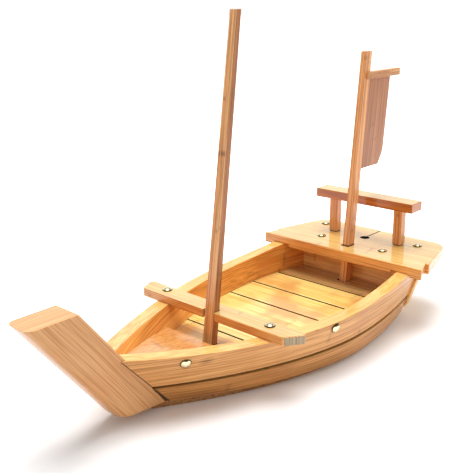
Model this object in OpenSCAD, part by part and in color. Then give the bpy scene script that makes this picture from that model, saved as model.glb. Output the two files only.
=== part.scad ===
// Wooden snack boat: a lacquered bamboo serving tray in the form of a small sailing boat.
// The bow points along +X and port is +Y. Lengths are in millimetres.
// Inside the modules x is measured from the foot of the main mast, and z from the table.

/* [Hull] */
// Half breadth of the gunwale's outer edge at its widest place
gunwale_half_w = 104; // [98:1:110]
// Half breadth of the lower outer edge at its widest place
bottom_half_w = 93; // [88:1:98]
// Where the hull is widest, measured from the main mast
widest_x = -128; // [-145:1:-110]
// Half breadth of the gunwale at the transom
stern_gunwale_half_w = 94; // [90:1:98]
// Half breadth of the lower edge at the transom
stern_bottom_half_w = 74; // [70:1:80]
// Height of the gunwale at its lowest place
gunwale_z = 58; // [54:1:62]
// Where the gunwale is lowest
sheer_low_x = -48; // [-60:1:-36]
// Rise of the gunwale from its lowest place to the stem
bow_rise = 9.5; // [6:0.5:12]
// How full the side is from its widest place to the bow
bow_fullness = 1.85; // [1.7:0.05:2]
// How full the side is from its widest place to the transom
stern_fullness = 1.8; // [1.6:0.1:2.2]
// Thickness of the side planks
plank_t = 16; // [12:1:18]
// How much the upper planks are planed away inside at floor level, toward the stern
stern_planing = 8.5; // [0:0.5:9]
// Thickness of the bottom board
bottom_t = 6; // [5:0.5:8]
// How far the bottom board lies inside the planks amidships
bottom_inset = 8; // [5:0.5:10]

/* [Strakes] */
// Height of the lower plank
lower_strake_h = 19.5; // [16:0.5:22]
// Height of the groove between the planks
groove_h = 2.6; // [1.5:0.1:3]
// Depth of the groove between the planks
groove_d = 3; // [2:0.5:4]
// How far the lower plank stands proud of the upper one
lower_proud = 1; // [0:0.1:2]

/* [Stem] */
// Thickness of the stem, port to starboard
stem_t = 32; // [28:1:36]
// Width of the stem from its back edge to its front edge, measured level
stem_w = 49; // [44:1:54]
// Height of the stem's top
stem_top_z = 125; // [115:1:135]
// Place of the stem's back edge at its top
stem_back_x = 170; // [165:1:175]
// Lean of the stem, as length forward for each unit of height
stem_lean = 0.7455; // [0.7:0.0005:0.78]
// Radius of the stem's front corners at the top
stem_round_top = 8; // [5:0.5:10]
// Radius of the stem's front corners at the foot
stem_round_foot = 14; // [11:0.5:14]
// Radius of the toe, where the front edge meets the foot
toe_r = 13; // [8:1:16]
// Slope of the stem's foot, which lifts toward the front
toe_slope = 0.09; // [0:0.01:0.14]

/* [Floor] */
// Height of the top of the floor slats
floor_z = 32; // [30:0.5:34]
// Width of the slat in front of the transom, with its gap
stern_slat_w = 45.4; // [43:0.1:47]
// Gap between two slats
slat_gap = 2.2; // [1.5:0.1:3]
// Place of the gap behind the mast slat
mast_slat_gap_x = -27.2; // [-30:0.2:-25]
// How far the bow board's rear edge laps over the mast slat
bow_board_lap = 1.2; // [0.5:0.1:3]
// Thickness of the bow board
bow_board_t = 9.4; // [7:0.2:11]
// Slope of the bow board, which climbs toward the stem
bow_board_slope = 0.17; // [0.1:0.01:0.2]
// Gap between the floor and the side planks
floor_clear = 0.4; // [0.2:0.1:1]
// Width of the bearers under the floor
bearer_w = 10; // [8:1:12]
// Distance of each bearer from the centre line
bearer_y = 24; // [20:1:26]
// How far the bearers end behind the front edge of the mast slat
bearer_short = 4; // [2:1:8]

/* [Thwart] */
// Front edge of the thwart
thwart_front_x = 0.5; // [0:0.1:1]
// Width of the thwart, fore and aft
thwart_w = 22; // [19:1:26]
// Thickness of the thwart
thwart_t = 9.6; // [8:0.2:11]
// Port end of the thwart's front edge, from the centre line
thwart_port_front = 93; // [90:0.5:96]
// Port end of the thwart's back edge, from the centre line
thwart_port_back = 109; // [106:0.5:112]
// Starboard end of the thwart's front edge, from the centre line
thwart_starboard_front = 104; // [100:0.5:107]
// Starboard end of the thwart's back edge, from the centre line
thwart_starboard_back = 114; // [110:0.5:117]
// Radius of the thwart's back corners
thwart_corner_r = 4; // [2:0.5:6]
// Depth of the thwart's housing in the gunwales
thwart_housing = 0.5; // [0.3:0.1:1.5]

/* [Stern deck] */
// Front edge of the deck
deck_front_x = -222; // [-225:1:-218]
// Length of the deck, fore and aft
deck_l = 102; // [96:0.5:106]
// Thickness of the deck board
deck_t = 13; // [11:0.5:14]
// Height of the deck's top face
deck_z = 77; // [75:0.5:79]
// Half width of the deck at its front edge
deck_half_front = 114; // [112:0.5:118]
// Half width of the deck just before its side step
deck_half_step = 106.5; // [104:0.5:109]
// Height of the side step
deck_step = 4.5; // [2:0.5:6]
// Length of the narrower front part
deck_step_l = 23; // [18:1:28]
// Half width of the deck at its back edge, before its corners are rounded
deck_half_back = 91.5; // [88:0.5:96]
// Radius of the deck's back corners
deck_corner_r = 20; // [12:1:26]
// Depth of the housings that sit over the gunwales
deck_housing = 3.5; // [2.5:0.5:4.5]
// Radius of the round hole in the deck
deck_hole_r = 6; // [4.5:0.5:7]
// Distance of the round hole behind the deck's front edge
deck_hole_setback = 62.5; // [60:0.5:66]
// Width of the saw cut from the hole to the back edge
kerf_w = 1.8; // [1:0.1:2.5]

/* [Transom] */
// Distance of the transom's front face, at the floor, behind the deck's front edge
transom_setback = 32.2; // [30:0.1:34]
// Thickness of the transom
transom_t = 7; // [6:0.5:9]
// How far the transom stands proud of the planks
transom_proud = 3; // [2:0.5:5]
// Radius of the transom's lower corners
transom_corner_r = 20; // [12:1:28]
// Lean of the transom, as length aft for each unit of height
transom_lean = 0.093; // [0.07:0.001:0.1]

/* [Main mast] */
// Front face of the mast at the floor
mast_front_x = 5; // [3:0.5:6]
// Height of the mast's top
mast_top_z = 360; // [330:1:380]
// Width of the mast at the floor, port to starboard
mast_foot_w = 12.6; // [10:0.1:13]
// Width of the mast at its top
mast_top_w = 9; // [7:0.1:10]
// Depth of the mast at the floor, fore and aft
mast_foot_d = 8.8; // [7:0.1:10]
// Depth of the mast at its top
mast_top_d = 6.6; // [5:0.1:8]
// Rake of the mast's front face, as length aft for each unit of height
mast_rake = 0.1443; // [0.135:0.0001:0.15]
// Sideways offset of the mast, toward starboard
mast_offset = 2.3; // [0:0.1:3]

/* [Stern mast] */
// Distance of the stern mast's front face, at the floor, behind the deck's front edge
stern_mast_setback = 14; // [13:0.5:16]
// Height of the stern mast's top
stern_mast_top_z = 309.5; // [290:0.5:325]
// Width of the stern mast at the floor, port to starboard
stern_mast_foot_w = 9.2; // [8:0.1:10]
// Width of the stern mast at its top
stern_mast_top_w = 7.6; // [7:0.1:9]
// Depth of the stern mast, fore and aft
stern_mast_d = 11.9; // [10:0.1:12.5]
// Rake of the stern mast, as length aft for each unit of height
stern_mast_rake = 0.1083; // [0.1:0.0001:0.112]

/* [Mortises] */
// Clearance round a mast where it passes through a board
mast_clear = 0.4; // [0.2:0.1:0.6]
// Spare width of a mortise on its starboard side
mortise_spare = 2.4; // [1:0.1:4]

/* [Sail] */
// Height of the yard's lower face
yard_z = 277.5; // [270:0.5:285]
// Height of the yard's section
yard_h = 8.5; // [7:0.5:10]
// Thickness of the yard, port to starboard
yard_t = 6; // [5:0.5:7]
// Length of the yard
yard_l = 72; // [66:1:80]
// How far the yard's fore end lies behind the front of the mast
yard_setback = 5; // [2:0.5:7]
// Depth of the yard's housing in the mast
yard_housing = 3.5; // [2.5:0.5:5]
// Thickness of the sail board
sail_t = 3.5; // [3:0.5:5]
// Height of the sail board's foot
sail_foot_z = 170; // [160:1:180]
// Width of the sail board under the yard
sail_w = 50; // [44:1:54]
// Height of the clipped lower corner
sail_clip_h = 15; // [10:1:20]
// Width of the clipped lower corner
sail_clip_w = 8.5; // [6:0.5:12]

/* [Rail] */
// Length of the rail
rail_l = 139; // [130:1:150]
// Width of the rail, fore and aft
rail_w = 24; // [20:1:28]
// Thickness of the rail
rail_t = 11.3; // [9:0.1:13]
// Height of the rail's top face
rail_z = 134; // [125:1:145]
// Distance of the rail's centre behind the deck's front edge
rail_setback = 64; // [62:0.5:67]
// Distance between the centres of the two posts
post_spacing = 94; // [88:1:100]
// Width of a post, port to starboard
post_w = 11.5; // [10:0.5:13]
// Depth of a post, fore and aft
post_d = 10; // [8:0.5:12]
// Radius of a post's lower corners
post_foot_r = 2.5; // [1:0.5:4]
// Side of the tenon under each post
tenon_w = 6; // [5:0.5:7]
// Length of the tenon under each post
tenon_l = 7; // [5:0.5:9]

/* [Tacks] */
// Radius of a tack's head
tack_r = 5.5; // [4.5:0.1:6]
// Height of a tack's domed head
tack_h = 3; // [2:0.1:3.5]
// Radius of a tack's shank
shank_r = 0.9; // [0.7:0.1:1.1]
// Length of a tack's shank
shank_l = 9; // [6:0.5:10]
// Clearance of a shank in its hole
shank_clear = 0.1; // [0.1:0.05:0.2]

/* [Hidden] */
$fn = 48;

bamboo = "burlywood";
bamboo_dark = "peru";
bamboo_light = "wheat";
brass = "lightgoldenrodyellow";

// How finely the curved planks are divided
stations = 36;
// Glue line between the sail and its mast
seat_gap = 0.02;
// How far a cutter reaches past what it cuts
over = 1;
// How far a plank runs on into the stem, and past the transom, before it is cut to fit
plank_into_stem = 0.06;
plank_past_transom = 0.02;
// Stations at which the planing inside the upper planks begins and is full
planing_from = 0.4;
planing_full = 0.16;

// The lower edge of the upper planks, which sits on the lower planks
seam_z = bottom_t + lower_strake_h;
// The deck rests on the gunwales here, inside its housings
deck_seat_z = deck_z - deck_t + deck_housing;
deck_under_z = deck_z - deck_t;
deck_back_x = deck_front_x - deck_l;
deck_hole_x = deck_front_x - deck_hole_setback;
rail_x = deck_front_x - rail_setback;
stern_mast_front_x = deck_front_x - stern_mast_setback;
transom_x = deck_front_x - transom_setback;
// The slats lie on the lower planks
slat_under_z = seam_z;
whole_slats = 4;
slat_pitch = (mast_slat_gap_x - transom_x - stern_slat_w) / whole_slats;

// The planks' outer faces meet the stem's sides along its back edge
stem_front_x = stem_back_x + stem_w;
function stem_back(z) = stem_back_x - stem_lean * (stem_top_z - z);
function stem_front(z) = stem_back(z) + stem_w;
gunwale_fore_z = gunwale_z + bow_rise;
gunwale_fore_x = stem_back(gunwale_fore_z) + 5;
bottom_fore_x = stem_back(bottom_t) - 3.5;

// The transom's front face leans aft as it rises
function transom_face(z) = transom_x - transom_lean * (z - floor_z);

// The gunwale rises to the deck's seat at the front of the deck, and is level from there
stern_rise = deck_seat_z - gunwale_z;
function sheer(x) = x > sheer_low_x
    ? gunwale_z + bow_rise * pow((x - sheer_low_x) / (gunwale_fore_x - sheer_low_x), 2)
    : min(deck_seat_z, gunwale_z + stern_rise * pow((sheer_low_x - x) / (sheer_low_x - deck_front_x), 2));

function mix(a, b, f) = a + (b - a) * f;
function unit(v) = v / norm(v);

// Half breadth of a level outline at x, full amidships and drawn in toward both ends
function breadth(x, wide, fore_x, fore_w, aft_x, aft_w) = x > widest_x
    ? wide - (wide - fore_w) * pow((x - widest_x) / (fore_x - widest_x), bow_fullness)
    : wide - (wide - aft_w) * pow((widest_x - x) / (widest_x - aft_x), stern_fullness);

// A point on the port side's outer face: s runs from the transom, 0, to the stem, 1
function side_point(s, z) =
    let (low_x = mix(transom_face(bottom_t), bottom_fore_x, s))
    let (high_x = mix(transom_face(deck_seat_z), gunwale_fore_x, s))
    let (low_y = breadth(low_x, bottom_half_w, bottom_fore_x, stem_t / 2, transom_face(bottom_t), stern_bottom_half_w))
    let (high_y = breadth(high_x, gunwale_half_w, gunwale_fore_x, stem_t / 2, transom_face(deck_seat_z), stern_gunwale_half_w))
    let (f = (z - bottom_t) / (sheer(high_x) - bottom_t))
    [mix(low_x, high_x, f), mix(low_y, high_y, f), z];

// The same point moved level into the plank by d
function side_inset(s, z, d) =
    let (step = 0.002)
    let (along = side_point(s + step, z) - side_point(s - step, z))
    let (inward = unit([along.y, -along.x, 0]))
    side_point(s, z) + d * inward;

// The gunwale's height at station s
function gunwale_top(s) = sheer(mix(transom_face(deck_seat_z), gunwale_fore_x, s));

// How deep the upper plank's inner face lies at station s and height z: it is planed toward the stern, most at the seam
function planed(s) = let (f = min(1, max(0, (planing_from - s) / (planing_from - planing_full)))) f * f * (3 - 2 * f);
function inner_depth(s, z) =
    plank_t - stern_planing * planed(s) * (gunwale_top(s) - z) / (gunwale_top(s) - seam_z);

// The station at which the outer face crosses x at height z, found by halving
function station_at(x, z, low = -0.1, high = 1.1, steps = 18) =
    steps == 0 ? (low + high) / 2
    : side_point((low + high) / 2, z).x < x ? station_at(x, z, (low + high) / 2, high, steps - 1)
    : station_at(x, z, low, (low + high) / 2, steps - 1);

// Half breadth inside the planks at x and height z
function inner_half(x, z) =
    let (s = station_at(x, z))
    let (q = side_inset(s, z, inner_depth(s, z)))
    let (s2 = station_at(2 * x - q.x, z))
    side_inset(s2, z, inner_depth(s2, z)).y;

// Points of an arc that rounds the corner p between a and b
function rounded(a, p, b, r, n = 6) =
    let (u = unit(a - p), w = unit(b - p))
    let (half = acos(u * w) / 2)
    let (c = p + unit(u + w) * r / sin(half))
    let (v0 = u * r / tan(half) + p - c, v1 = w * r / tan(half) + p - c)
    let (a0 = atan2(v0.y, v0.x), da = atan2(v1.y, v1.x) - a0)
    let (turn = da > 180 ? da - 360 : da < -180 ? da + 360 : da)
    [for (i = [0 : n]) c + r * [cos(a0 + turn * i / n), sin(a0 + turn * i / n)]];

// A solid skin over closed rings of points, with flat ends
module skin(rings) {
    n = len(rings[0]);
    last = (len(rings) - 1) * n;
    polyhedron(
        points = [for (ring = rings) each ring],
        faces = concat(
            [[for (i = [0 : n - 1]) i]],
            [[for (i = [n - 1 : -1 : 0]) last + i]],
            [for (j = [0 : len(rings) - 2], i = [0 : n - 1]) [j * n + i, (j + 1) * n + i, (j + 1) * n + (i + 1) % n]],
            [for (j = [0 : len(rings) - 2], i = [0 : n - 1]) [j * n + i, (j + 1) * n + (i + 1) % n, j * n + (i + 1) % n]]
        )
    );
}

// A level outline lofted to another at a different height
module loft(low, low_z, high, high_z) {
    skin([[for (p = low) [p.x, p.y, low_z]], [for (p = high) [p.x, p.y, high_z]]]);
}

// A profile in x and z, with thickness t from port y
module profile(points, port_y, t) {
    translate([0, port_y, 0])
        rotate([90, 0, 0])
            linear_extrude(t) polygon(points);
}

// The whole boat is moved so that it is centred on the origin
yard_front_x = stern_mast_front(yard_z) - yard_setback;
module place() {
    fore = stem_front_x;
    aft = yard_front_x - yard_l;
    translate([-(fore + aft) / 2, 0, 0]) children();
}

// Bow

// The stem seen from the side, with its toe rounded
function stem_outline() =
    let (heel = [stem_back(bottom_t) - 2, bottom_t])
    let (toe_z = bottom_t + toe_slope * stem_w)
    let (toe = [stem_front(toe_z), toe_z])
    let (nose = [stem_front_x, stem_top_z])
    concat([heel], rounded(heel, toe, nose, toe_r, 8), [nose, [stem_back_x, stem_top_z]]);

// The stem seen from above at height z, with front corners of radius r
function stem_slice(z, r) =
    let (half = stem_t / 2, back = stem_back(z) - over, front = stem_front(z))
    let (sb = [back, -half], sf = [front, -half], pf = [front, half], pb = [back, half])
    concat([sb], rounded(sb, sf, pf, r), rounded(sf, pf, pb, r), [pb]);

module stem_block() {
    profile(stem_outline(), stem_t / 2, stem_t);
}

module stem() {
    color(bamboo)
        place()
            intersection() {
                stem_block();
                loft(
                    stem_slice(-over, stem_round_foot), -over,
                    stem_slice(stem_top_z + over, stem_round_top), stem_top_z + over
                );
            }
}

// Side planks

// What the port planks are cut by: the stem, the transom's face and the centre line
module plank_cuts() {
    stem_block();
    profile(
        [
            [transom_face(-over), -over],
            [transom_face(stem_top_z), stem_top_z],
            [deck_back_x, stem_top_z],
            [deck_back_x, -over]
        ],
        stem_front_x, 2 * stem_front_x
    );
    translate([0, -stem_t, -over]) cube([stem_front_x, stem_t, stem_top_z]);
}

function plank_stations() = [for (i = [0 : stations]) mix(-plank_past_transom, 1 + plank_into_stem, i / stations)];

module lower_strake() {
    difference() {
        skin([for (s = plank_stations()) [
            side_inset(s, seam_z, -lower_proud),
            side_inset(s, bottom_t, -lower_proud),
            side_inset(s, bottom_t, plank_t),
            side_inset(s, seam_z, plank_t)
        ]]);
        plank_cuts();
    }
}

module upper_strake() {
    difference() {
        skin([for (s = plank_stations()) [
            side_point(s, gunwale_top(s)),
            side_point(s, seam_z + groove_h),
            side_inset(s, seam_z + groove_h, groove_d),
            side_inset(s, seam_z, groove_d),
            side_inset(s, seam_z, inner_depth(s, seam_z)),
            side_inset(s, gunwale_top(s), plank_t)
        ]]);
        plank_cuts();
        thwart_housing_cut();
        for (i = [0 : 1]) side_tack_place(i) shank_hole();
    }
}

module lower_strake_port() {
    color(bamboo_dark) place() lower_strake();
}

module lower_strake_starboard() {
    color(bamboo_dark) place() mirror([0, 1, 0]) lower_strake();
}

module upper_strake_port() {
    color(bamboo) place() upper_strake();
}

module upper_strake_starboard() {
    color(bamboo) place() mirror([0, 1, 0]) upper_strake();
}

// Transom

// The transom seen from behind, with its height measured along the board from floor level
function transom_outline() =
    let (up = 1 / cos(atan(transom_lean)))
    let (low = (bottom_t - floor_z) * up, high = (deck_z - floor_z) * up)
    let (low_half = side_point(0, bottom_t).y + transom_proud, high_half = side_point(0, deck_z).y + transom_proud)
    let (sh = [-high_half, high], sl = [-low_half, low], pl = [low_half, low], ph = [high_half, high])
    concat([sh], rounded(sh, sl, pl, transom_corner_r, 8), rounded(sl, pl, ph, transom_corner_r, 8), [ph]);

module transom() {
    color(bamboo_dark)
        place()
            intersection() {
                translate([transom_x, 0, floor_z])
                    rotate([0, -atan(transom_lean), 0])
                        translate([-transom_t, 0, 0])
                            rotate([90, 0, 90])
                                linear_extrude(transom_t) polygon(transom_outline());
                translate([deck_back_x, -gunwale_half_w, bottom_t])
                    cube([deck_l, 2 * gunwale_half_w, deck_under_z - bottom_t]);
            }
}

// Bottom and floor

// The bottom board's half breadth lies inside the planks
board_fore_x = bottom_fore_x + 13;
board_fore_half = stem_t / 4;
board_aft_x = transom_face(bottom_t) - transom_t;
function board_half(x) = breadth(
    x, bottom_half_w - bottom_inset, board_fore_x, board_fore_half, board_aft_x, stern_bottom_half_w - bottom_inset
);

module bottom_board() {
    xs = [for (i = [0 : 28]) mix(board_aft_x, board_fore_x, i / 28)];
    color(bamboo_dark)
        place()
            linear_extrude(bottom_t)
                polygon(concat(
                    [for (x = xs) [x, -board_half(x)]],
                    [for (i = [len(xs) - 1 : -1 : 0]) [xs[i], board_half(xs[i])]]
                ));
}

module bearer(side) {
    back = transom_face(bottom_t) + floor_clear;
    front = slat_front(0) - bearer_short;
    color(bamboo)
        place()
            translate([back, side * bearer_y - bearer_w / 2, bottom_t])
                cube([front - back, bearer_w, slat_under_z - bottom_t]);
}

module bearer_port() {
    bearer(1);
}

module bearer_starboard() {
    bearer(-1);
}

// A floor board's outline between x0 and x1 at height z, drawn to the planks' inner faces
function floor_outline(x0, x1, z, n) = concat(
    [for (i = [0 : n]) let (x = mix(x0, x1, i / n)) [x, -(inner_half(x, z) - floor_clear)]],
    [for (i = [n : -1 : 0]) let (x = mix(x0, x1, i / n)) [x, inner_half(x, z) - floor_clear]]
);

module floor_piece(x0, x1, n = 3) {
    loft(floor_outline(x0, x1, slat_under_z, n), slat_under_z, floor_outline(x0, x1, floor_z, n), floor_z);
}

// Front edge of whole slat i, counted from the bow
function slat_front(i) = mast_slat_gap_x - (i - 1) * slat_pitch - slat_gap / 2;

module whole_slat(i) {
    color(bamboo_light) place() floor_piece(slat_front(i + 1) + slat_gap, slat_front(i));
}

module floor_slat_1() {
    whole_slat(1);
}

module floor_slat_2() {
    whole_slat(2);
}

module floor_slat_3() {
    whole_slat(3);
}

module floor_slat_4() {
    whole_slat(4);
}

// The stern slat lies round the foot of the stern mast and reaches the transom
module stern_slat() {
    back = transom_face(slat_under_z) + floor_clear;
    color(bamboo_light)
        place()
            difference() {
                floor_piece(back, slat_front(whole_slats + 1));
                stern_mast_mortise(slat_under_z - over, floor_z + over);
            }
}

// The mast slat lies round the foot of the main mast
module mast_slat() {
    color(bamboo_light)
        place()
            difference() {
                floor_piece(slat_front(1) + slat_gap, slat_front(0));
                mast_mortise(slat_under_z - over, floor_z + over, 0);
            }
}

// The bow board climbs from the mast slat to the stem, between the planks
module bow_floor_board() {
    back = slat_front(0) - bow_board_lap;
    tip = stem_back(floor_z + bow_board_t) - 2;
    color(bamboo_light)
        place()
            skin([for (i = [0 : 8])
                let (x = mix(back, tip, i / 8), low = floor_z + bow_board_slope * (x - back), high = low + bow_board_t)
                let (low_half = inner_half(x, low) - floor_clear, high_half = inner_half(x, high) - floor_clear)
                [[x, high_half, high], [x, low_half, low], [x, -low_half, low], [x, -high_half, high]]
            ]);
}

// Main mast and thwart

// A mast's level section, drawn from its front face
function mast_section(front, half, depth, y, z) = [
    [front - depth, y - half, z], [front - depth, y + half, z], [front, y + half, z], [front, y - half, z]
];

function mast_front(z) = mast_front_x - mast_rake * (z - floor_z);
function mast_width(z) = mix(mast_foot_w, mast_top_w, (z - floor_z) / (mast_top_z - floor_z));
function mast_depth(z) = mix(mast_foot_d, mast_top_d, (z - floor_z) / (mast_top_z - floor_z));
function mast_ring(z) = mast_section(mast_front(z), mast_width(z) / 2, mast_depth(z), -mast_offset, z);

module main_mast() {
    color(bamboo_dark) place() skin([mast_ring(bottom_t), mast_ring(mast_top_z)]);
}

// An upright hole round a raked mast from height z0 to z1, with room on its starboard side
module mortise(front, back, y, half, z0, z1) {
    starboard = half + mast_clear + mortise_spare;
    port = half + mast_clear;
    translate([back - mast_clear, y - starboard, z0])
        cube([front - back + 2 * mast_clear, starboard + port, z1 - z0]);
}

// The main mast's hole, open toward the bow by the length given
module mast_mortise(z0, z1, open_l) {
    mortise(mast_front(z0) + open_l, mast_front(z1) - mast_depth(z1), -mast_offset, mast_width(z0) / 2, z0, z1);
}

thwart_seat_z = sheer(thwart_front_x - thwart_w / 2) - thwart_housing;
thwart_back_x = thwart_front_x - thwart_w;
thwart_chamfer = 1.5;
function thwart_outline() =
    let (sf = [thwart_front_x, -thwart_starboard_front], sb = [thwart_back_x, -thwart_starboard_back])
    let (pf = [thwart_front_x, thwart_port_front], pb = [thwart_back_x, thwart_port_back])
    concat(
        [sf + thwart_chamfer * unit(sb - sf), sf + [0, thwart_chamfer]],
        [pf - [0, thwart_chamfer], pf + thwart_chamfer * unit(pb - pf)],
        rounded(pf, pb, sb, thwart_corner_r),
        rounded(pb, sb, sf, thwart_corner_r)
    );

// The shallow housing across a gunwale that the thwart lies in
module thwart_housing_cut() {
    translate([thwart_back_x, 0, thwart_seat_z]) cube([thwart_w, gunwale_half_w, thwart_t]);
}

module thwart() {
    color(bamboo_light)
        place()
            difference() {
                translate([0, 0, thwart_seat_z]) linear_extrude(thwart_t) polygon(thwart_outline());
                mast_mortise(thwart_seat_z - over, thwart_seat_z + thwart_t + over, mast_foot_d);
                for (p = thwart_tacks) thwart_tack_place(p) shank_hole();
            }
}

// Stern mast, yard and sail

function stern_mast_front(z) = stern_mast_front_x - stern_mast_rake * (z - floor_z);
function stern_mast_back(z) = stern_mast_front(z) - stern_mast_d;
function stern_mast_width(z) = mix(stern_mast_foot_w, stern_mast_top_w, (z - floor_z) / (stern_mast_top_z - floor_z));
function stern_mast_ring(z) = mast_section(stern_mast_front(z), stern_mast_width(z) / 2, stern_mast_d, 0, z);

module stern_mast_mortise(z0, z1) {
    mortise(stern_mast_front(z0), stern_mast_back(z1), 0, stern_mast_width(z0) / 2, z0, z1);
}

module stern_mast() {
    color(bamboo_dark)
        place()
            difference() {
                skin([stern_mast_ring(bottom_t), stern_mast_ring(stern_mast_top_z)]);
                yard_bar();
            }
}

// The yard is let into the port face of the stern mast
module yard_bar() {
    translate([yard_front_x - yard_l, stern_mast_width(yard_z) / 2 - yard_housing, yard_z])
        cube([yard_l, yard_t, yard_h]);
}

module yard() {
    color(bamboo_dark) place() yard_bar();
}

// The sail's fore edge lies against the mast, and its after edge runs parallel to it
module sail_board() {
    top = yard_z;
    foot = sail_foot_z;
    clip_z = foot + sail_clip_h;
    tack = [stern_mast_back(foot) - seat_gap, foot];
    head = [stern_mast_back(top) - seat_gap, top];
    peak = [stern_mast_back(top) - sail_w, top];
    leech = [stern_mast_back(clip_z) - sail_w, clip_z];
    clew = [stern_mast_back(foot) - sail_w + sail_clip_w, foot];
    color(bamboo_dark)
        place()
            profile(concat([tack, head, peak], rounded(peak, leech, clew, 3 * sail_clip_w), [clew]), sail_t / 2, sail_t);
}

// Stern deck

function deck_outline() =
    let (step_x = deck_front_x - deck_step_l)
    let (pf = [deck_front_x, deck_half_front], pn = [step_x, deck_half_step])
    let (pw = [step_x, deck_half_step + deck_step], pb = [deck_back_x, deck_half_back])
    let (sb = [deck_back_x, -deck_half_back], sw = [step_x, -deck_half_step - deck_step])
    let (sn = [step_x, -deck_half_step], sf = [deck_front_x, -deck_half_front])
    concat([pf, pn, pw], rounded(pw, pb, sb, deck_corner_r), rounded(pb, sb, sw, deck_corner_r), [sw, sn, sf]);

// The housing over the port gunwale, with room on its inner side
housing_spare = 6;
module gunwale_housing() {
    z0 = deck_under_z - over;
    s_front = station_at(deck_front_x + over, deck_seat_z);
    ss = [for (i = [0 : 6]) mix(-plank_past_transom, s_front + plank_past_transom, i / 6)];
    translate([0, 0, z0])
        linear_extrude(deck_seat_z - z0)
            polygon(concat(
                [for (s = ss) let (q = side_inset(s, deck_seat_z, -floor_clear)) [q.x, q.y]],
                [for (i = [len(ss) - 1 : -1 : 0]) let (q = side_inset(ss[i], deck_under_z, plank_t + housing_spare)) [q.x, q.y]]
            ));
}

module stern_deck() {
    color(bamboo_light)
        place()
            difference() {
                translate([0, 0, deck_under_z]) linear_extrude(deck_t) polygon(deck_outline());
                gunwale_housing();
                mirror([0, 1, 0]) gunwale_housing();
                stern_mast_mortise(deck_under_z - over, deck_z + over);
                translate([deck_hole_x, 0, deck_under_z - over]) cylinder(r = deck_hole_r, h = deck_t + 2 * over);
                translate([deck_back_x - over, -kerf_w / 2, deck_under_z - over])
                    cube([deck_hole_x - deck_back_x + over, kerf_w, deck_t + 2 * over]);
                for (side = [-1, 1]) post_mortise(side);
                for (p = deck_tacks) deck_tack_place(p) shank_hole();
            }
}

// Rail

module post_mortise(side) {
    room = tenon_w + 2 * shank_clear;
    translate([rail_x - room / 2, side * post_spacing / 2 - room / 2, deck_z - tenon_l - shank_clear])
        cube([room, room, tenon_l + over]);
}

// A post's front view, with its lower corners rounded
function post_outline() =
    let (h = post_w / 2, top = rail_z - rail_t)
    let (bl = [-h, deck_z], br = [h, deck_z], tr = [h, top], tl = [-h, top])
    concat(rounded(tl, bl, br, post_foot_r, 4), rounded(bl, br, tr, post_foot_r, 4), [tr, tl]);

module rail_post(side) {
    color(bamboo_dark)
        place()
            translate([rail_x, side * post_spacing / 2, 0]) {
                translate([-post_d / 2, 0, 0])
                    rotate([90, 0, 90])
                        linear_extrude(post_d) polygon(post_outline());
                translate([-tenon_w / 2, -tenon_w / 2, deck_z - tenon_l])
                    cube([tenon_w, tenon_w, tenon_l + over]);
            }
}

module rail_post_port() {
    rail_post(1);
}

module rail_post_starboard() {
    rail_post(-1);
}

module rail() {
    color(bamboo)
        place()
            translate([rail_x - rail_w / 2, -rail_l / 2, rail_z - rail_t]) cube([rail_w, rail_l, rail_t]);
}

// Tacks

// A side tack's flat underside stands this far off the curved plank
tack_seat = 0.15;

// A domed head on a thin shank: the head's flat face is at z = 0 and the shank points down
module tack() {
    dome_r = (tack_r * tack_r + tack_h * tack_h) / (2 * tack_h);
    half_angle = asin(tack_r / dome_r);
    rotate_extrude()
        polygon(concat(
            [[0, -shank_l], [shank_r, -shank_l], [shank_r, 0], [tack_r, 0]],
            [for (i = [1 : 8]) let (a = half_angle * (1 - i / 8)) [dome_r * sin(a), tack_h - dome_r + dome_r * cos(a)]]
        ));
}

module shank_hole() {
    depth = shank_l + 0.5;
    translate([0, 0, -depth]) cylinder(r = shank_r + shank_clear, h = depth + over);
}

// Places of the tacks in each side plank, as x and the distance below the gunwale
side_tacks = [[78, 8.5], [-78, 6.5]];
module side_tack_place(i) {
    x = side_tacks[i].x;
    z = sheer(x) - side_tacks[i].y;
    s = station_at(x, z);
    step = 0.002;
    q = side_point(s, z);
    along = side_point(s + step, z) - side_point(s - step, z);
    up = side_point(s, z + 1) - side_point(s, z - 1);
    out = unit(cross(up, along));
    translate(q + tack_seat * out) rotate([0, acos(out.z), atan2(out.y, out.x)]) children();
}

// Places of the tacks in the thwart, in x and y
thwart_tacks = [[-12.5, 67], [-12.5, -78]];
module thwart_tack_place(p) {
    translate([p.x, p.y, thwart_seat_z + thwart_t]) children();
}

// Places of the tacks in the deck, as the distance behind its front edge, and y
deck_tacks = [[74.5, 67.5], [30.5, 45], [34, -47], [83, -75]];
module deck_tack_place(p) {
    translate([deck_front_x - p.x, p.y, deck_z]) children();
}

module brass_tacks() {
    color(brass)
        place() {
            for (i = [0 : 1]) {
                side_tack_place(i) tack();
                mirror([0, 1, 0]) side_tack_place(i) tack();
            }
            for (p = thwart_tacks) thwart_tack_place(p) tack();
            for (p = deck_tacks) deck_tack_place(p) tack();
        }
}

bottom_board();
stem();
lower_strake_port();
lower_strake_starboard();
upper_strake_port();
upper_strake_starboard();
transom();
bearer_port();
bearer_starboard();
stern_slat();
floor_slat_1();
floor_slat_2();
floor_slat_3();
floor_slat_4();
mast_slat();
bow_floor_board();
thwart();
main_mast();
stern_deck();
stern_mast();
yard();
sail_board();
rail();
rail_post_port();
rail_post_starboard();
brass_tacks();
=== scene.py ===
"""A lacquered bamboo snack boat: its boards, planks, masts and tacks, on a pale studio floor."""

import math

import bmesh
import bpy
from mathutils import Matrix, Vector


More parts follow.
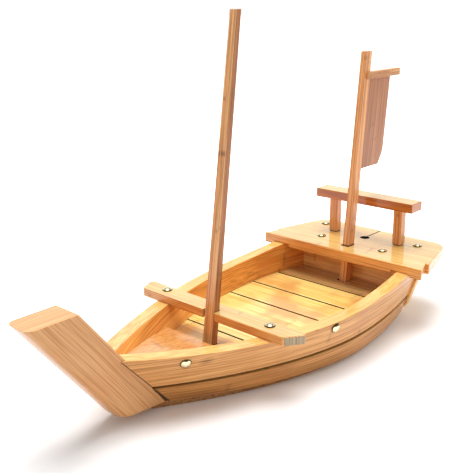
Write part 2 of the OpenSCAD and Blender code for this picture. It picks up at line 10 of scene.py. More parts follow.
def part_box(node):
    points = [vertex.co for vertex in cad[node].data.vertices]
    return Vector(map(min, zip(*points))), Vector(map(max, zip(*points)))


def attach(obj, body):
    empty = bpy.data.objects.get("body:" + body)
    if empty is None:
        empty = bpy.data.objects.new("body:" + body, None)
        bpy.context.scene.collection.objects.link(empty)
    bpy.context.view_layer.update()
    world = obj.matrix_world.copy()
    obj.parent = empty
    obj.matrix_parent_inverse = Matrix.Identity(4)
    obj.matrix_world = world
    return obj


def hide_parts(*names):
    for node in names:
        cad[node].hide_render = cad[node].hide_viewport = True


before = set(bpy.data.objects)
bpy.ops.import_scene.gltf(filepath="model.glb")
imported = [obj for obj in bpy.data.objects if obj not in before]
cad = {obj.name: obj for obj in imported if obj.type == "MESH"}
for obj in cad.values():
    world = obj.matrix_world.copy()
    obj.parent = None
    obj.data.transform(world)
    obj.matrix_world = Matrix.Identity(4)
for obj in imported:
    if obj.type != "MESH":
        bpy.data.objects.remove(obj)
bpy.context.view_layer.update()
MM = 0.001

# From here to the tacks, lengths are in millimetres and measured from the main mast's foot, which the
# stem's front edge places
STEM_FRONT = 219.0
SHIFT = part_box("stem")[1].x / MM - STEM_FRONT
DECK_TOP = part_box("stern_deck")[1].z / MM


# Hull form, as the solid planks have it

GUNWALE_HALF, BOTTOM_HALF, WIDEST_X = 104.0, 93.0, -128.0
STERN_GUNWALE_HALF, STERN_BOTTOM_HALF = 94.0, 74.0
GUNWALE_Z, SHEER_LOW_X, BOW_RISE = 58.0, -48.0, 9.5
BOW_FULLNESS, STERN_FULLNESS = 1.85, 1.8
BOTTOM_T, SEAM_Z, GROOVE_H, GROOVE_D = 6.0, 25.5, 2.6, 3.0
STEM_BACK_X, STEM_TOP_Z, STEM_T, STEM_LEAN = 170.0, 125.0, 32.0, 0.7455
DECK_FRONT_X, DECK_SEAT_Z = -222.0, 67.5
TRANSOM_X, TRANSOM_LEAN, FLOOR_Z = -254.2, 0.093, 32.0


def stem_back(z):
    return STEM_BACK_X - STEM_LEAN * (STEM_TOP_Z - z)


def transom_face(z):
    return TRANSOM_X - TRANSOM_LEAN * (z - FLOOR_Z)


GUNWALE_FORE_X = stem_back(GUNWALE_Z + BOW_RISE) + 5
BOTTOM_FORE_X = stem_back(BOTTOM_T) - 3.5
# The planks' bow ends lean with this much length forward for each unit of height
PLANK_END_LEAN = (GUNWALE_FORE_X - BOTTOM_FORE_X) / (GUNWALE_Z + BOW_RISE - BOTTOM_T)


def mix(a, b, f):
    return a + (b - a) * f


def sheer(x):
    """The gunwale's height at x: lowest amidships, and level again under the stern deck."""
    if x > SHEER_LOW_X:
        return GUNWALE_Z + BOW_RISE * ((x - SHEER_LOW_X) / (GUNWALE_FORE_X - SHEER_LOW_X)) ** 2
    rise = DECK_SEAT_Z - GUNWALE_Z
    return min(DECK_SEAT_Z, GUNWALE_Z + rise * ((SHEER_LOW_X - x) / (SHEER_LOW_X - DECK_FRONT_X)) ** 2)


def breadth(x, wide, fore_x, fore_w, aft_x, aft_w):
    """Half the breadth of a level outline at x, full amidships and drawn in toward both ends."""
    if x > WIDEST_X:
        return wide - (wide - fore_w) * ((x - WIDEST_X) / (fore_x - WIDEST_X)) ** BOW_FULLNESS
    return wide - (wide - aft_w) * ((WIDEST_X - x) / (WIDEST_X - aft_x)) ** STERN_FULLNESS


def side_point(s, z):
    """A point on the port planks' outer face: s runs from the transom, 0, to the stem, 1."""
    low_aft, high_aft = transom_face(BOTTOM_T), transom_face(DECK_SEAT_Z)
    low_x, high_x = mix(low_aft, BOTTOM_FORE_X, s), mix(high_aft, GUNWALE_FORE_X, s)
    low_y = breadth(low_x, BOTTOM_HALF, BOTTOM_FORE_X, STEM_T / 2, low_aft, STERN_BOTTOM_HALF)
    high_y = breadth(high_x, GUNWALE_HALF, GUNWALE_FORE_X, STEM_T / 2, high_aft, STERN_GUNWALE_HALF)
    f = (z - BOTTOM_T) / (sheer(high_x) - BOTTOM_T)
    return Vector((mix(low_x, high_x, f), mix(low_y, high_y, f), z))


def station_at(x, z):
    """The share of the plank's length, from the transom to the stem, at which its outer face crosses x."""
    low, high = -0.1, 1.1
    for _ in range(18):
        middle = (low + high) / 2
        low, high = (middle, high) if side_point(middle, z).x < x else (low, middle)
    return (low + high) / 2


# Materials

def linear(hex_colour):
    """An sRGB hex colour as the linear colour that a shader socket takes."""
    parts = [int(hex_colour[i:i + 2], 16) / 255 for i in (1, 3, 5)]
    return tuple(c / 12.92 if c <= 0.04045 else ((c + 0.055) / 1.055) ** 2.4 for c in parts) + (1.0,)


def add(tree, kind, inputs=(), **settings):
    """Adds one node. Settings are its properties. Inputs are for its sockets, in order or by name or number:
    a value, a hex colour, a socket that feeds it, or a node, of which the first output in use feeds it. A
    MapRange takes a value, the two limits it runs between and what they become. A Mix takes its amount at 0
    and its colours at 6 and 7."""
    made = tree.nodes.new("ShaderNode" + kind)
    for name, value in settings.items():
        setattr(made, name, value)
    for socket, value in (inputs if isinstance(inputs, dict) else dict(enumerate(inputs))).items():
        if isinstance(value, bpy.types.Node):
            value = next(output for output in value.outputs if output.enabled)
        if isinstance(value, bpy.types.NodeSocket):
            tree.links.new(value, made.inputs[socket])
        else:
            made.inputs[socket].default_value = linear(value) if isinstance(value, str) else value
    return made


def new_material(name):
    material = bpy.data.materials.new(name)
    material.use_nodes = True
    material.node_tree.nodes.clear()
    return material, material.node_tree


# Turns that bring each grain direction onto the pattern's first axis. Bent grain follows the planks' own
# attribute
GRAIN_TURNS = {
    "bent": (0.0, 0.0, 0.0),
    "fore_and_aft": (0.0, 0.0, 0.0),
    "athwart": (0.0, 0.0, math.radians(-90)),
    "upright": (0.0, math.radians(90), 0.0),
    "along_stem": (0.0, math.radians(53.3), 0.0),
    "along_mast": (0.0, math.radians(98.2), 0.0),
    "along_stern_mast": (0.0, math.radians(96.2), 0.0),
}
# The pattern lies this many metres off, across and through the wood, so that no border of a strip falls on
# a face
OFF_THE_FACES = (0.0031, 0.0017)
# Noise cells to the metre along, across and through the wood. Bamboo's fibres are 0.3 mm apart and wouldn't
# show, so these are drawn 1.1 mm wide and 70 mm long, in streaks 3.6 mm wide and clouds 45 mm across
FIBRE_CELLS, STREAK_CELLS, CLOUD_CELLS = (14.0, 900.0, 900.0), (2.5, 280.0, 280.0), 22.0
# A cane joint's mark fades over this much on each side, and a glue line over this much
JOINT_FADE, GLUE_FADE = 5.0, 0.25
# The last colour here is a painted shade, for the foot of an upright piece and the planks' joint at the stem
CANE_JOINT, BLUSH, KNOT, GAP_SHADE = "#8A5A30", "#D8894E", "#6E4222", "#2A160A"


def bamboo(name, grain, pale, honey, fibre, strip=20.0, layer=6.0, joint_every=320.0, blush=0.25, streak=1.0,
           roughness=0.36, coat=0.8, coat_roughness=0.06, coat_ior=1.5, seed=0.0, foot=None, at_stem=False,
           knots=()):
    """Laminated bamboo, sanded and clear lacquered: strips glued side by side, each a little lighter or darker
    than the next, with fine straight fibres along it, and here and there the brown mark of a joint of the
    cane. Strip is the strips' width and layer their thickness. A painted shade darkens the corner at the foot
    of an upright piece, and the planks' joint at the stem. Each knot is a cane joint at a chosen
    place, given by its centre and its half sizes."""
    material, tree = new_material("laminated bamboo, " + name)
    if grain == "bent":
        unturned = add(tree, "Attribute", attribute_name="grain").outputs["Vector"]
    else:
        unturned = add(tree, "TexCoord").outputs["Object"]
    place = add(tree, "Mapping", (unturned, (seed, *OFF_THE_FACES), GRAIN_TURNS[grain]))
    along, across, deep = add(tree, "SeparateXYZ", (place,)).outputs

    # Each strip has its own tone
    strip_at = add(tree, "Math", (across, strip * MM), operation="DIVIDE")
    layer_at = add(tree, "Math", (deep, layer * MM), operation="DIVIDE")
    strip_number = add(tree, "Math", (strip_at,), operation="FLOOR")
    layer_number = add(tree, "Math", (layer_at,), operation="FLOOR")
    strip_key = add(tree, "CombineXYZ", (strip_number, layer_number, seed))
    strip_tone = add(tree, "TexWhiteNoise", (strip_key,), noise_dimensions="3D")

    fibre_place = add(tree, "Mapping", {"Vector": place, "Scale": FIBRE_CELLS})
    fibres = add(tree, "TexNoise", {"Vector": fibre_place, "Scale": 1.0, "Detail": 1.0, "Roughness": 0.5})
    streak_place = add(tree, "Mapping", {"Vector": place, "Scale": STREAK_CELLS})
    streaks = add(tree, "TexNoise", {"Vector": streak_place, "Scale": 1.0, "Detail": 3.0, "Roughness": 0.55})
    clouds = add(tree, "TexNoise", {"Vector": place, "Scale": CLOUD_CELLS, "Detail": 2.0, "Roughness": 0.5})

    # A joint of the cane: a wavering brown mark, at another place on each strip and faint on most
    fine_waver = add(tree, "Math", (fibres, 0.02), operation="MULTIPLY")
    waver = add(tree, "Math", (clouds, 0.05, fine_waver), operation="MULTIPLY_ADD")
    run = add(tree, "Math", (along, joint_every * MM), operation="DIVIDE")
    strip_run = add(tree, "Math", (strip_tone, 7.3, run), operation="MULTIPLY_ADD")
    wavering_run = add(tree, "Math", (strip_run, waver), operation="ADD")
    joint_place = add(tree, "Math", (wavering_run,), operation="FRACT")
    joint_side = add(tree, "Math", (joint_place, 0.5), operation="SUBTRACT")
    from_joint = add(tree, "Math", (joint_side,), operation="ABSOLUTE")
    joint_mark = add(tree, "MapRange", (from_joint, 0.0, JOINT_FADE / joint_every, 1.0, 0.0))
    broken_mark = add(tree, "Math", (joint_mark, streaks), operation="MULTIPLY")
    joint_shown = add(tree, "MapRange", (broken_mark, 0.2, 0.6, 0.0, 1.0))

    # The glue between two strips shows as a hairline
    in_strip = add(tree, "Math", (strip_at,), operation="FRACT")
    strip_side = add(tree, "Math", (in_strip, 0.5), operation="SUBTRACT")
    from_middle = add(tree, "Math", (strip_side,), operation="ABSOLUTE")
    glue = add(tree, "MapRange", (from_middle, 0.5 - GLUE_FADE / strip, 0.5, 0.0, 1.0))

    # Colours laid over each other, each with how much of it shows
    tones = [
        (add(tree, "MapRange", (streaks, 0.36, 0.64, 0.0, streak)), honey),
        (add(tree, "MapRange", (strip_tone, 0.0, 1.0, 0.0, 0.45)), honey),
        (add(tree, "MapRange", (clouds, 0.48, 0.66, 0.0, blush)), BLUSH),
        (add(tree, "MapRange", (fibres, 0.44, 0.66, 0.0, 0.85)), fibre),
        (add(tree, "MapRange", (streaks, 0.56, 0.7, 0.0, 0.4 * streak)), fibre),
        (add(tree, "Math", (glue, 0.4), operation="MULTIPLY"), CANE_JOINT),
        (add(tree, "Math", (joint_shown, 0.6), operation="MULTIPLY"), CANE_JOINT),
    ]
    for centre, half in knots:
        middle, scale = [-c / h for c, h in zip(centre, half)], [1 / (h * MM) for h in half]
        scaled = add(tree, "Mapping", {"Vector": unturned, "Location": middle, "Scale": scale})
        away = add(tree, "VectorMath", (scaled,), operation="LENGTH").outputs["Value"]
        spot = add(tree, "MapRange", (away, 0.2, 1.0, 0.75, 0.0))
        fibrous = add(tree, "MapRange", (fibres, 0.38, 0.56, 0.0, 1.0))
        tones.append((add(tree, "Math", (spot, fibrous), operation="MULTIPLY"), KNOT))
    # Painted shade: a dark band where an upright piece meets the board below it
    if foot is not None:
        height_up = add(tree, "SeparateXYZ", (unturned,)).outputs["Z"]
        above_foot = add(tree, "Math", (height_up, foot * MM), operation="SUBTRACT")
        from_foot = add(tree, "Math", (above_foot,), operation="ABSOLUTE")
        tones.append((add(tree, "MapRange", (from_foot, 0.4 * MM, 2.0 * MM, 0.85, 0.0)), GAP_SHADE))
    # Painted shade: a dark line along the planks' joint at the stem
    if at_stem:
        flat_x, _, flat_z = add(tree, "SeparateXYZ", (unturned,)).outputs
        reach = add(tree, "Math", (flat_z, -PLANK_END_LEAN, flat_x), operation="MULTIPLY_ADD")
        end = (BOTTOM_FORE_X - PLANK_END_LEAN * BOTTOM_T) * MM
        tones.append((add(tree, "MapRange", (reach, end - 1.8 * MM, end - 0.8 * MM, 0.0, 0.85)), GAP_SHADE))
    colour = pale
    for amount, tone in tones:
        colour = add(tree, "Mix", {0: amount, 6: colour, 7: tone}, data_type="RGBA")

    joint_dip = add(tree, "Math", (joint_shown, 0.4), operation="MULTIPLY")
    dips = add(tree, "Math", (glue, 0.5, joint_dip), operation="MULTIPLY_ADD")
    height = add(tree, "Math", (fibres, dips), operation="SUBTRACT")
    relief = add(tree, "Bump", {"Strength": 0.2, "Distance": 0.1 * MM, "Height": height})
    sheen = add(tree, "MapRange", (streaks, 0.3, 0.7, roughness, roughness + 0.1))
    lacquered = add(tree, "BsdfPrincipled", {
        "Base Color": colour, "Roughness": sheen, "IOR": 1.5, "Specular IOR Level": 0.2, "Normal": relief,
        "Coat Weight": coat, "Coat Roughness": coat_roughness, "Coat IOR": coat_ior,
    })
    add(tree, "OutputMaterial", {"Surface": lacquered})
    return material


def plated_brass(name, bright, dull):
    """Brass plate on a pressed steel tack: nearly a mirror, with a little haze from handling, about 1 mm
    across."""
    material, tree = new_material(name)
    place = add(tree, "TexCoord").outputs["Object"]
    haze = add(tree, "TexNoise", {"Vector": place, "Scale": 900.0, "Detail": 3.0})
    hazy = add(tree, "MapRange", (haze, 0.4, 0.7, 0.0, 0.5))
    plate = add(tree, "BsdfPrincipled", {
        "Base Color": add(tree, "Mix", {0: hazy, 6: bright, 7: dull}, data_type="RGBA"), "Metallic": 1.0,
        "Roughness": add(tree, "MapRange", (haze, 0.3, 0.7, 0.05, 0.12)),
        "Normal": add(tree, "Bump", {"Strength": 0.1, "Distance": 0.05 * MM, "Height": haze}),
    })
    add(tree, "OutputMaterial", {"Surface": plate})
    return material


def scorched(name):
    """Bamboo burnt dark by the drill and the saw: nearly black, matt, with a grit of 0.7 mm."""
    material, tree = new_material(name)
    place = add(tree, "TexCoord").outputs["Object"]
    grit = add(tree, "TexNoise", {"Vector": place, "Scale": 1500.0, "Detail": 3.0})
    gritty = add(tree, "MapRange", (grit, 0.35, 0.7, 0.0, 1.0))
    char = add(tree, "BsdfPrincipled", {
        "Base Color": add(tree, "Mix", {0: gritty, 6: "#120B06", 7: "#2A1A0E"}, data_type="RGBA"),
        "Roughness": 0.8,
        "Normal": add(tree, "Bump", {"Strength": 0.4, "Distance": 0.1 * MM, "Height": grit}),
    })
    add(tree, "OutputMaterial", {"Surface": char})
    return material


# Lacquers: a thin one that only softens the wood's sheen, a rubbed one, and none on sawn edges
THIN = {"coat": 0.4, "coat_roughness": 0.15}
RUBBED = {"coat": 0.5, "coat_roughness": 0.12}
BARE = {"coat": 0.0, "roughness": 0.6}
# The strips of the planks, of the masts' square stock, and of boards seen on their edges
PLANK = {"strip": 11.0, "layer": 19.0}
STOCK = {"strip": 4.2, "layer": 4.4, **THIN}
EDGE = {"strip": 40.0, "layer": 4.0, "blush": 0.35}

# The planks' outsides: honey brown with a low sheen, painted darker below the groove as a painted shade, with
# a painted shade line at the stem and a brown knot beside the bow tack
plank_side = bamboo("plank side", "bent", "#F3B874", "#E2A05B", "#BC7B3F", **PLANK, **RUBBED,
                    blush=0.3, roughness=0.42, at_stem=True, knots=(((60.0, 0.0, 53.0), (8.0, 6.0, 6.0)),))
plank_low_shaded = bamboo("lower plank side, painted shade", "bent", "#DD9E59", "#C7853D", "#9C612B", **PLANK, **RUBBED,
                   blush=0.3, roughness=0.42, at_stem=True, seed=0.4)
# Their insides are glossier, and a warmer orange that is painted bounce light. Their top edges show the pale
# strips side on, and are paler still with painted light
plank_inner_bounce_lit = bamboo("plank inside, painted bounce light", "bent", "#FFBB63", "#F3A04A", "#C47730", **PLANK, blush=0.35, seed=0.7)
plank_edge_lit = bamboo("plank edge, partly painted light", "bent", "#FAD185", "#F1BD6B", "#D49648", strip=19.0, layer=5.0, blush=0.15)
# The deck, thwart and rail: pale straw under a thick flowed lacquer that mirrors the posts and masts sharply
board_face = bamboo("board face", "athwart", "#E9CD83", "#E1B565", "#CD974A", strip=22.0, layer=40.0,
                    coat=1.0, coat_roughness=0.03, coat_ior=1.85)
# Their edges are orange and striped, and the thwart's ends are end grain, greyed by a painted shade
board_edge = bamboo("board edge", "athwart", "#FFC378", "#F4A658", "#C77B3A", **EDGE)
board_end_painted_grey = bamboo("board end, painted shade", "upright", "#C4B99C", "#BD9E79", "#9B8562", strip=4.0, layer=5.0,
                   blush=0.1, streak=0.4, **THIN)
# The floor slats: bright straw with reddish clouds, and a softer mirror. The one under the deck is painted
# darker, a painted shade from the deck above it
slat_face = bamboo("floor slat", "athwart", "#FFED99", "#F3CC6E", "#D9A551", strip=23.0, layer=40.0,
                   blush=0.75, coat=0.9, coat_roughness=0.16, coat_ior=1.6)
stern_slat_shaded = bamboo("stern slat", "athwart", "#C7A976", "#BD9154", "#A9743C", strip=23.0,
                         layer=40.0, blush=0.3)
# The bow board: redder than the slats, with a full soft gloss
bow_face = bamboo("bow board", "fore_and_aft", "#E7B369", "#DB9952", "#C07B3B", strip=25.0,
                  layer=40.0, blush=0.5, coat=1.0, coat_roughness=0.14)
# The bottom and the bearers: plain brown, mostly in the dark
frame_wood = bamboo("hidden boards", "fore_and_aft", "#C08A50", "#A97440", "#7F5228", strip=20.0, layer=8.0)
# Sawn faces in the slats' gaps and in the planks' groove: matt and without lacquer, painted dark as the shade
# in these recesses
sawn_edge_shaded = bamboo("sawn edges, painted shade", "athwart", "#4A2E16", "#3A2310", "#241408", strip=20.0, layer=4.0, **BARE)
groove_shaded = bamboo("sawn groove, painted shade", "bent", "#7A4C22", "#653B17", "#46270D", strip=20.0, layer=4.0, **BARE)
# The transom: pale orange, in broad bands, painted paler than the deck's edges as painted light under the deck
transom_lit = bamboo("transom", "athwart", "#FFDC93", "#FFBF6F", "#D98B4A", strip=40.0, layer=14.0,
                      blush=0.35)
# The rail's edges: the deepest orange of all
rail_edge = bamboo("rail edge", "athwart", "#D57D2E", "#C26A21", "#974B15", **EDGE)
# The yard and the masts: tan stock of a few fine strips. The main mast's port face is painted darker, a
# painted shade on its side away from the light
yard_wood = bamboo("yard", "fore_and_aft", "#FDBF7E", "#E9A360", "#B0703A", strip=3.2, layer=4.0,
                   blush=0.2, **THIN)
mast_port_face_shaded = bamboo("mast stock, port face, painted shade", "along_mast", "#CD905D", "#B07041", "#7C4724",
                        **STOCK, blush=0.1, seed=0.29)
# The stern mast has a painted shade line where it meets the deck
stern_mast_wood = bamboo("stern mast", "along_stern_mast", "#FFBC7C", "#EAA265", "#B97743", **STOCK,
                         seed=0.63, foot=DECK_TOP)
mast_wood = bamboo("mast stock", "along_mast", "#F8CF90", "#F5AD6E", "#B97847", **STOCK, blush=0.2,
                   seed=0.11, knots=(((SHIFT - 28.0, 0.0, 226.0), (30.0, 30.0, 4.0)),))
# The rail's posts: tan, with a painted shade line where they meet the deck
post_wood = bamboo("posts", "upright", "#F8B275", "#E39759", "#B16E3C", strip=4.0, layer=5.0,
                   **RUBBED, seed=0.21, foot=DECK_TOP)
# The sail: reddish brown and rather dull
sail_wood = bamboo("sail board", "along_stern_mast", "#C48558", "#B27148", "#945A33", strip=11.0,
                   layer=9.0, **THIN, seed=0.37)
# The stem block: even tan sides with fine fibres and no joints of the cane, and a paler, glossier top
stem_side = bamboo("stem block", "along_stem", "#E5AC73", "#D2955D", "#C38146", strip=60.0,
                   layer=11.0, joint_every=3000, blush=0.3, streak=0.12, **THIN)
stem_top = bamboo("stem top", "fore_and_aft", "#EDBA7E", "#E2A66B", "#CC8A4C", strip=11.0,
                  layer=60.0, joint_every=3000)
# The tacks: pale gold domes. The rolled rim is dark brown, and the same dark brown paints a dark reflection on
# the upper side of the side tacks' heads
tack_brass = plated_brass("brass plate", "#F2E6C0", "#D6C088")
rim_and_painted_reflection = plated_brass("dark brass plate, rim and painted reflection", "#5A4824", "#3A2C14")
burnt = scorched("scorched bamboo")


# Mesh helpers

def only(piece):
    """Selects this piece alone and makes it the one that operators act on."""
    bpy.ops.object.select_all(action="DESELECT")
    piece.select_set(True)
    bpy.context.view_layer.objects.active = piece


def select_edges(piece, wanted):
    """In edit mode: selects the edges for which wanted(edge) holds, and nothing else."""
    bpy.ops.mesh.select_mode(type="EDGE")
    bpy.ops.mesh.select_all(action="DESELECT")
    shape = bmesh.from_edit_mesh(piece.data)
    for edge in shape.edges:
        edge.select = wanted(edge)
    shape.select_flush_mode()
    bmesh.update_edit_mesh(piece.data)


def shade(piece):
    """Shades rounded edges smoothly and keeps the flat faces even."""
    only(piece)
    bpy.ops.object.shade_smooth_by_angle(angle=math.radians(32))
    weighted = piece.modifiers.new("even shading", "WEIGHTED_NORMAL")
    weighted.keep_sharp = True
    bpy.ops.object.modifier_apply(modifier=weighted.name)


def dress(piece, slot, *woods):
    """Hangs a finished piece under the boat's root and gives it its materials: each but the last comes with a
    rule, and a face takes the first whose rule it meets, or else the last."""
    rules, materials = [rule for rule, _ in woods[:-1]], [wood for _, wood in woods[:-1]] + [woods[-1]]
    piece.data.materials.clear()
    for material in materials:
        piece.data.materials.append(material)
    for polygon in piece.data.polygons:
        polygon.material_index = next((i for i, rule in enumerate(rules) if rule(polygon)), len(rules))
    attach(piece, "root")


def level(polygon):
    return abs(polygon.normal.z) > 0.75


def sideways(polygon):
    return abs(polygon.normal.y) > 0.8


def to_port(polygon):
    return polygon.normal.y > 0.8


def merged_copy(node, name):
    """A copy of a solid's mesh with its loose triangles joined."""
    piece = bpy.data.objects.new(name, cad[node].data.copy())
    bpy.context.scene.collection.objects.link(piece)
    only(piece)
    bpy.ops.object.mode_set(mode="EDIT")
    bpy.ops.mesh.select_all(action="SELECT")
    bpy.ops.mesh.remove_doubles(threshold=0.01 * MM)
    bpy.ops.object.mode_set(mode="OBJECT")
    return piece


def ease(piece, radius, keep=None):
    """Rounds the piece's outer arrises as sandpaper does, apart from those that keep(edge) holds sharp."""
    only(piece)
    bpy.ops.object.mode_set(mode="EDIT")
    select_edges(piece, lambda e: len(e.link_faces) == 2 and e.is_convex
                 and e.calc_face_angle(0) > math.radians(28) and not (keep and keep(e)))
    bpy.ops.mesh.bevel(offset=radius * MM, segments=3, profile=0.5, affect="EDGES", clamp_overlap=False)
    bpy.ops.object.mode_set(mode="OBJECT")
    shade(piece)


# Boards

def board(node, name, slot, radius, *woods, keep=None):
    """One flat board, from its solid."""
    piece = merged_copy(node, name)
    bpy.ops.object.mode_set(mode="EDIT")
    bpy.ops.mesh.select_all(action="SELECT")
    bpy.ops.mesh.dissolve_limited(angle_limit=math.radians(0.6))
    bpy.ops.object.mode_set(mode="OBJECT")
    ease(piece, radius, keep)
    dress(piece, slot, *woods)
    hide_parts(node)


DECK_HOLE_X, DECK_HOLE_R, KERF_HALF = DECK_FRONT_X - 62.5, 6.0, 0.9
# How far from a cut's wall a point still counts as on it
ON_WALL = 0.2


def in_cut(p):
    """Whether a point is on the wall of the deck's hole or of its saw kerf."""
    x, y = p.x / MM - SHIFT, p.y / MM
    in_hole = math.hypot(x - DECK_HOLE_X, y) < DECK_HOLE_R + ON_WALL
    return in_hole or (x < DECK_HOLE_X and abs(y) < KERF_HALF + ON_WALL)


def in_deck_cut(polygon):
    return in_cut(polygon.center) and not level(polygon)


# Planks

def lay_grain(piece):
    """Keeps each point's place in the board before it was bent into the plank, for the grain to follow."""
    grain = piece.data.attributes.new("grain", "FLOAT_VECTOR", "POINT")
    for vertex in piece.data.vertices:
        x, y, z = vertex.co.x / MM - SHIFT, abs(vertex.co.y) / MM, vertex.co.z / MM
        s = station_at(x, z)
        run = side_point(s + 0.01, z) - side_point(s - 0.01, z)
        depth = (side_point(s, z).y - y) * run.x / run.length
        grain.data[vertex.index].vector = (x * MM, depth * MM, z * MM)


def in_groove(polygon):
    """The groove's roof, back and floor lie just above the seam, inside the planks' outer faces."""
    p = polygon.center / MM
    depth = side_point(station_at(p.x - SHIFT, p.z), p.z).y - abs(p.y)
    return SEAM_Z - 0.1 < p.z < SEAM_Z + GROOVE_H + 0.1 and 0.4 < depth < GROOVE_D + 1


def inside(polygon):
    return polygon.normal.y * polygon.center.y < 0


def plank(node, name, outer):
    """One side plank, from its solid, with its faces squared up for the easing of its edges."""
    piece = merged_copy(node, name)
    bpy.ops.object.mode_set(mode="EDIT")
    bpy.ops.mesh.select_all(action="SELECT")
    bpy.ops.mesh.tris_convert_to_quads(face_threshold=math.radians(20), shape_threshold=math.radians(60))
    bpy.ops.object.mode_set(mode="OBJECT")
    ease(piece, 0.9, lambda e: e.calc_length() < 1.5 * MM)
    lay_grain(piece)
    dress(piece, "side_planks", (in_groove, groove_shaded), (level, plank_edge_lit), (inside, plank_inner_bounce_lit), outer)
    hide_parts(node)


# Tacks

UP = Vector((0.0, 0.0, 1.0))
# The flat underside's radius, then the head's outline from the rim up, as radius and height
HEAD_FOOT_R = 5.2
HEAD_RINGS = ((5.5, 0.35), (5.35, 0.7), (5.0, 1.12), (4.4, 1.7),
              (3.6, 2.25), (2.7, 2.62), (1.7, 2.87), (0.7, 2.98))
# A side tack's flat underside stands this far off the curved plank
TACK_SEAT = 0.15


def tack_master():
    """A pressed tack's domed head with its rolled rim, standing on the origin."""
    bpy.ops.object.select_all(action="DESELECT")
    bpy.ops.mesh.primitive_circle_add(vertices=36, radius=HEAD_FOOT_R * MM, fill_type="NGON")
    tack = bpy.context.object
    bpy.ops.object.mode_set(mode="EDIT")
    bpy.ops.mesh.select_all(action="SELECT")
    radius, height = HEAD_FOOT_R, 0.0
    for r, h in HEAD_RINGS:
        bpy.ops.mesh.extrude_region_move(TRANSFORM_OT_translate={"value": (0, 0, (h - height) * MM)})
        bpy.ops.transform.resize(value=(r / radius, r / radius, 1), center_override=(0, 0, 0))
        radius, height = r, h
    bpy.ops.mesh.select_all(action="SELECT")
    bpy.ops.mesh.normals_make_consistent(inside=False)
    bpy.ops.object.mode_set(mode="OBJECT")
    shade(tack)
    return tack


def tack(master, name, place, outward):
    """A copy of the tack, driven in at a place. Its rim is dark brown, and on an upright face the upper side
    of its head has a painted dark reflection."""
    piece = bpy.data.objects.new(name, master.data.copy())
    bpy.context.scene.collection.objects.link(piece)
    turn = outward.to_track_quat("Z", "Y").to_matrix().to_4x4()
    piece.data.transform(Matrix.Translation(Vector((place[0] + SHIFT, place[1], place[2])) * MM) @ turn)

    # The dark rim, and a painted dark reflection on the upper side of a side tack's head
    def in_dark_rim_or_painted_reflection(polygon):
        facing = polygon.normal.dot(outward)
        on_rim = facing < 0.7
        in_painted_reflection = outward.z < 0.5 and polygon.normal.z > 0.3 and facing < 0.94
        return on_rim or in_painted_reflection

    dress(piece, "tacks", (in_dark_rim_or_painted_reflection, rim_and_painted_reflection), tack_brass)
    return piece


def side_tack(x, below):
    """Where a tack sits in the port plank, below the gunwale at x, and which way it faces."""
    z = sheer(x) - below
    s = station_at(x, z)
    along = side_point(s + 0.002, z) - side_point(s - 0.002, z)
    up = side_point(s, z + 1) - side_point(s, z - 1)
    outward = up.cross(along).normalized()
    return side_point(s, z) + TACK_SEAT * outward, outward


# The boat, from the bottom up

for node in ("bottom_board", "bearer_port", "bearer_starboard"):
    cad[node].data.materials.clear()
    cad[node].data.materials.append(frame_wood)

board("stem", "stem_block", "stem", 0.6, (level, stem_top), stem_side)
board("transom", "transom_board", "side_planks", 0.9, transom_lit)
board("stern_slat", "stern_slat_board", "floor", 0.4, (level, stern_slat_shaded), sawn_edge_shaded)
for node in ("floor_slat_1", "floor_slat_2", "floor_slat_3", "floor_slat_4", "mast_slat"):
    board(node, node + "_board", "floor", 0.4, (level, slat_face), sawn_edge_shaded)
board("bow_floor_board", "bow_board", "floor", 0.5, (level, bow_face), sawn_edge_shaded)
board("thwart", "thwart_board", "deck_boards", 0.8, (level, board_face), (sideways, board_end_painted_grey), board_edge)
board("stern_deck", "deck_board", "deck_boards", 1.2, (in_deck_cut, burnt), (level, board_face), board_edge,
      keep=lambda e: in_cut(e.verts[0].co))
board("main_mast", "fore_mast_stick", "masts", 0.4, (to_port, mast_port_face_shaded), mast_wood)
board("stern_mast", "stern_mast_stick", "masts", 0.4, stern_mast_wood)
board("yard", "yard_stick", "masts", 0.4, yard_wood)
board("sail_board", "sail_panel", "sail", 0.3, sail_wood)
board("rail", "hand_rail", "deck_boards", 0.8, (level, board_face), rail_edge)
for side in ("port", "starboard"):
    board("rail_post_" + side, "post_" + side, "deck_boards", 0.4, post_wood)
    plank("upper_strake_" + side, "upper_plank_" + side, plank_side)
    plank("lower_strake_" + side, "lower_plank_" + side, plank_low_shaded)

# The deck's tacks by their distance behind its front edge and their y, the thwart's by their y, and the
# planks' pairs by their x and their distance below the gunwale
DECK_TACKS, THWART_TACKS = ((74.5, 67.5), (30.5, 45), (34, -47), (83, -75)), (67, -78)
SIDE_TACKS, THWART_TACK_X = ((78, 8.5), (-78, 6.5)), -12.5
master = tack_master()
thwart_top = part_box("thwart")[1].z / MM
tacks = [((DECK_FRONT_X - back, y, DECK_TOP), UP) for back, y in DECK_TACKS]
tacks += [((THWART_TACK_X, y, thwart_top), UP) for y in THWART_TACKS]
for x, below in SIDE_TACKS:
    port_tack = side_tack(x, below)
    tacks += [port_tack, [Vector((v.x, -v.y, v.z)) for v in port_tack]]
heads = [tack(master, f"tack_{i}", place, outward) for i, (place, outward) in enumerate(tacks, 1)]
bpy.data.objects.remove(master)
for head in heads:
    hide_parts("brass_tacks")


# Floor, light and camera, in metres

WHITE = "#FFFFFF"


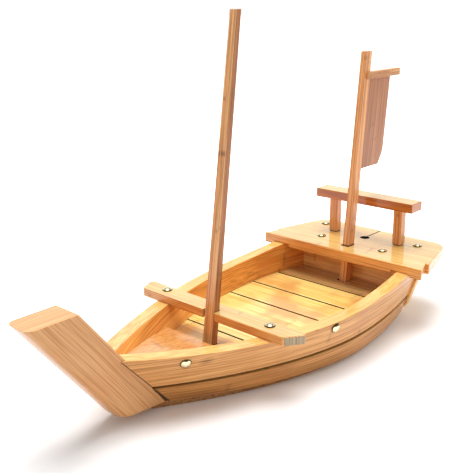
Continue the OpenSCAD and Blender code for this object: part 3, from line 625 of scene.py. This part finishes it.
def studio_floor():
    """White paper, which shines by itself far from the boat so that it runs into the white behind it."""
    bpy.ops.object.select_all(action="DESELECT")
    bpy.ops.mesh.primitive_plane_add(size=40.0, location=(0, 0, 0))
    floor = bpy.context.object
    floor.name = "studio_floor"
    material, tree = new_material("studio paper")
    # The glow keeps off an oval round the boat and its shadow
    oval = add(tree, "Mapping", {"Vector": add(tree, "TexCoord").outputs["Object"], "Scale": (0.6, 1.0, 1.0)})
    from_boat = add(tree, "VectorMath", (oval,), operation="LENGTH").outputs["Value"]
    matt = add(tree, "BsdfDiffuse", {"Color": "#F6F6F6"})
    far_off = add(tree, "MapRange", (from_boat, 0.15, 0.42, 0.0, 1.0))
    glow = add(tree, "Emission", {"Color": WHITE, "Strength": far_off})
    seen = add(tree, "LightPath").outputs
    direct = add(tree, "Math", (seen["Is Camera Ray"], seen["Is Glossy Ray"]), operation="MAXIMUM")
    lit = add(tree, "AddShader", (matt, glow))
    add(tree, "OutputMaterial", {"Surface": add(tree, "MixShader", (direct, matt, lit))})
    floor.data.materials.append(material)


def studio_sky():
    """A white studio. Its mirror image is white all round and dark at the ceiling, with a bright panel
    overhead, so that the tacks have a bright crown with a dark ring and the lacquered boards aren't washed out
    from above."""
    world = bpy.data.worlds.new("studio")
    bpy.context.scene.world = world
    world.use_nodes = True
    tree = world.node_tree
    tree.nodes.clear()
    seen = add(tree, "LightPath").outputs
    up = add(tree, "SeparateXYZ", (add(tree, "TexCoord").outputs["Generated"],)).outputs["Z"]
    fill_strength = add(tree, "MapRange", (up, 0.05, 0.7, 0.55, 0.46))
    fill = add(tree, "Background", {"Color": WHITE, "Strength": fill_strength})
    ceiling = add(tree, "MapRange", (up, 0.55, 0.75, 1.0, 0.3))
    panel = add(tree, "MapRange", (up, 0.85, 0.93, 0.0, 2.5))
    image = add(tree, "Math", (ceiling, panel), operation="MAXIMUM")
    mirrored = add(tree, "Background", {"Color": WHITE, "Strength": image})
    white = add(tree, "Background", {"Color": WHITE, "Strength": 1.0})
    lit = add(tree, "MixShader", (seen["Is Glossy Ray"], fill, mirrored))
    add(tree, "OutputWorld", {"Surface": add(tree, "MixShader", (seen["Is Camera Ray"], lit, white))})


def soft_box(name, place, target, size_m, watts):
    """A square lamp behind a wide diffuser: the lacquer mirrors the white studio around it and not the lamp
    itself."""
    data = bpy.data.lights.new(name, "AREA")
    data.shape, data.size, data.energy = "SQUARE", size_m, watts
    lamp = bpy.data.objects.new(name, data)
    bpy.context.scene.collection.objects.link(lamp)
    lamp.location = place
    lamp.rotation_euler = (Vector(target) - Vector(place)).to_track_quat("-Z", "Y").to_euler()
    lamp.visible_glossy = False


def photo_camera():
    """The camera stands at the photograph's place, off the port bow and a little above the masts' middle. Back
    and up are its own directions, which the straight edges of the deck, thwart, masts and stem gave."""
    data = bpy.data.cameras.new("photo_camera")
    data.lens, data.sensor_width = 55.99, 36.0
    camera = bpy.data.objects.new("photo_camera", data)
    bpy.context.scene.collection.objects.link(camera)
    back = Vector((0.6963, 0.652, 0.300)).normalized()
    up = Vector((-0.2314, -0.1916, 0.9538))
    right = up.cross(back).normalized()
    up = back.cross(right)
    turn = Matrix((right, up, back)).transposed().to_4x4()
    camera.matrix_world = Matrix.Translation((0.55205, 0.48192, 0.36360)) @ turn
    bpy.context.scene.camera = camera


studio_floor()
studio_sky()
soft_box("top_box", (-0.18, -0.16, 1.5), (0, 0, 0.05), 1.0, 25.0)
soft_box("rear_box", (-1.2, 0.7, 0.9), (0, 0, 0.1), 0.8, 6.0)
photo_camera()
bpy.context.scene.view_settings.view_transform = "Standard"
